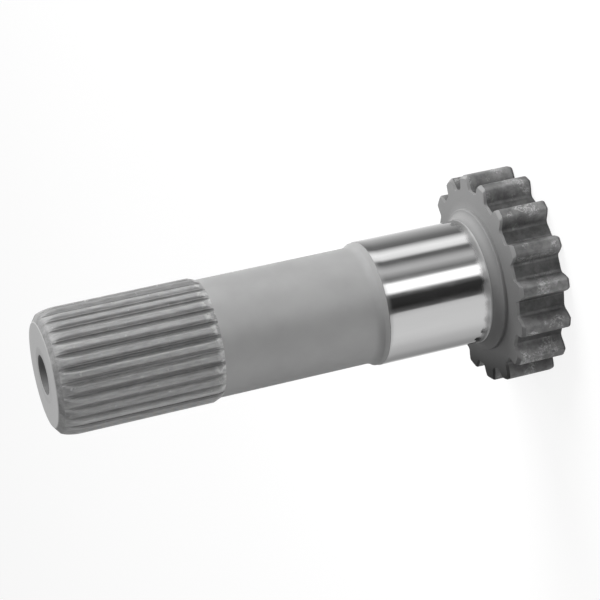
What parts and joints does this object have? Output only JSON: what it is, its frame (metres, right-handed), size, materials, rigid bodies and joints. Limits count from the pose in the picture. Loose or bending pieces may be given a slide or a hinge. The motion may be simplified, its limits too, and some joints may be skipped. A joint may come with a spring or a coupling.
{
  "type": "stub axle",
  "caption": "One-piece steel stub axle: splined end with a tapped hole, plain shank, ground bearing journal, shoulder and a coarse toothed head.",
  "frame": {"origin": "centre of the flat end of the toothed head, on the axle's axis", "axes": "+Z along the axis towards the splined end; +X through the middle of a head tooth and of a spline tooth"},
  "size_m": [0.0764, 0.0764, 0.181],
  "materials": {
    "machined_steel": "machined steel, ground journal, duller splined end and toothed head"
  },
  "bodies": {
    "root": {"stub_axle": "machined_steel"}
  },
  "joints": []
}
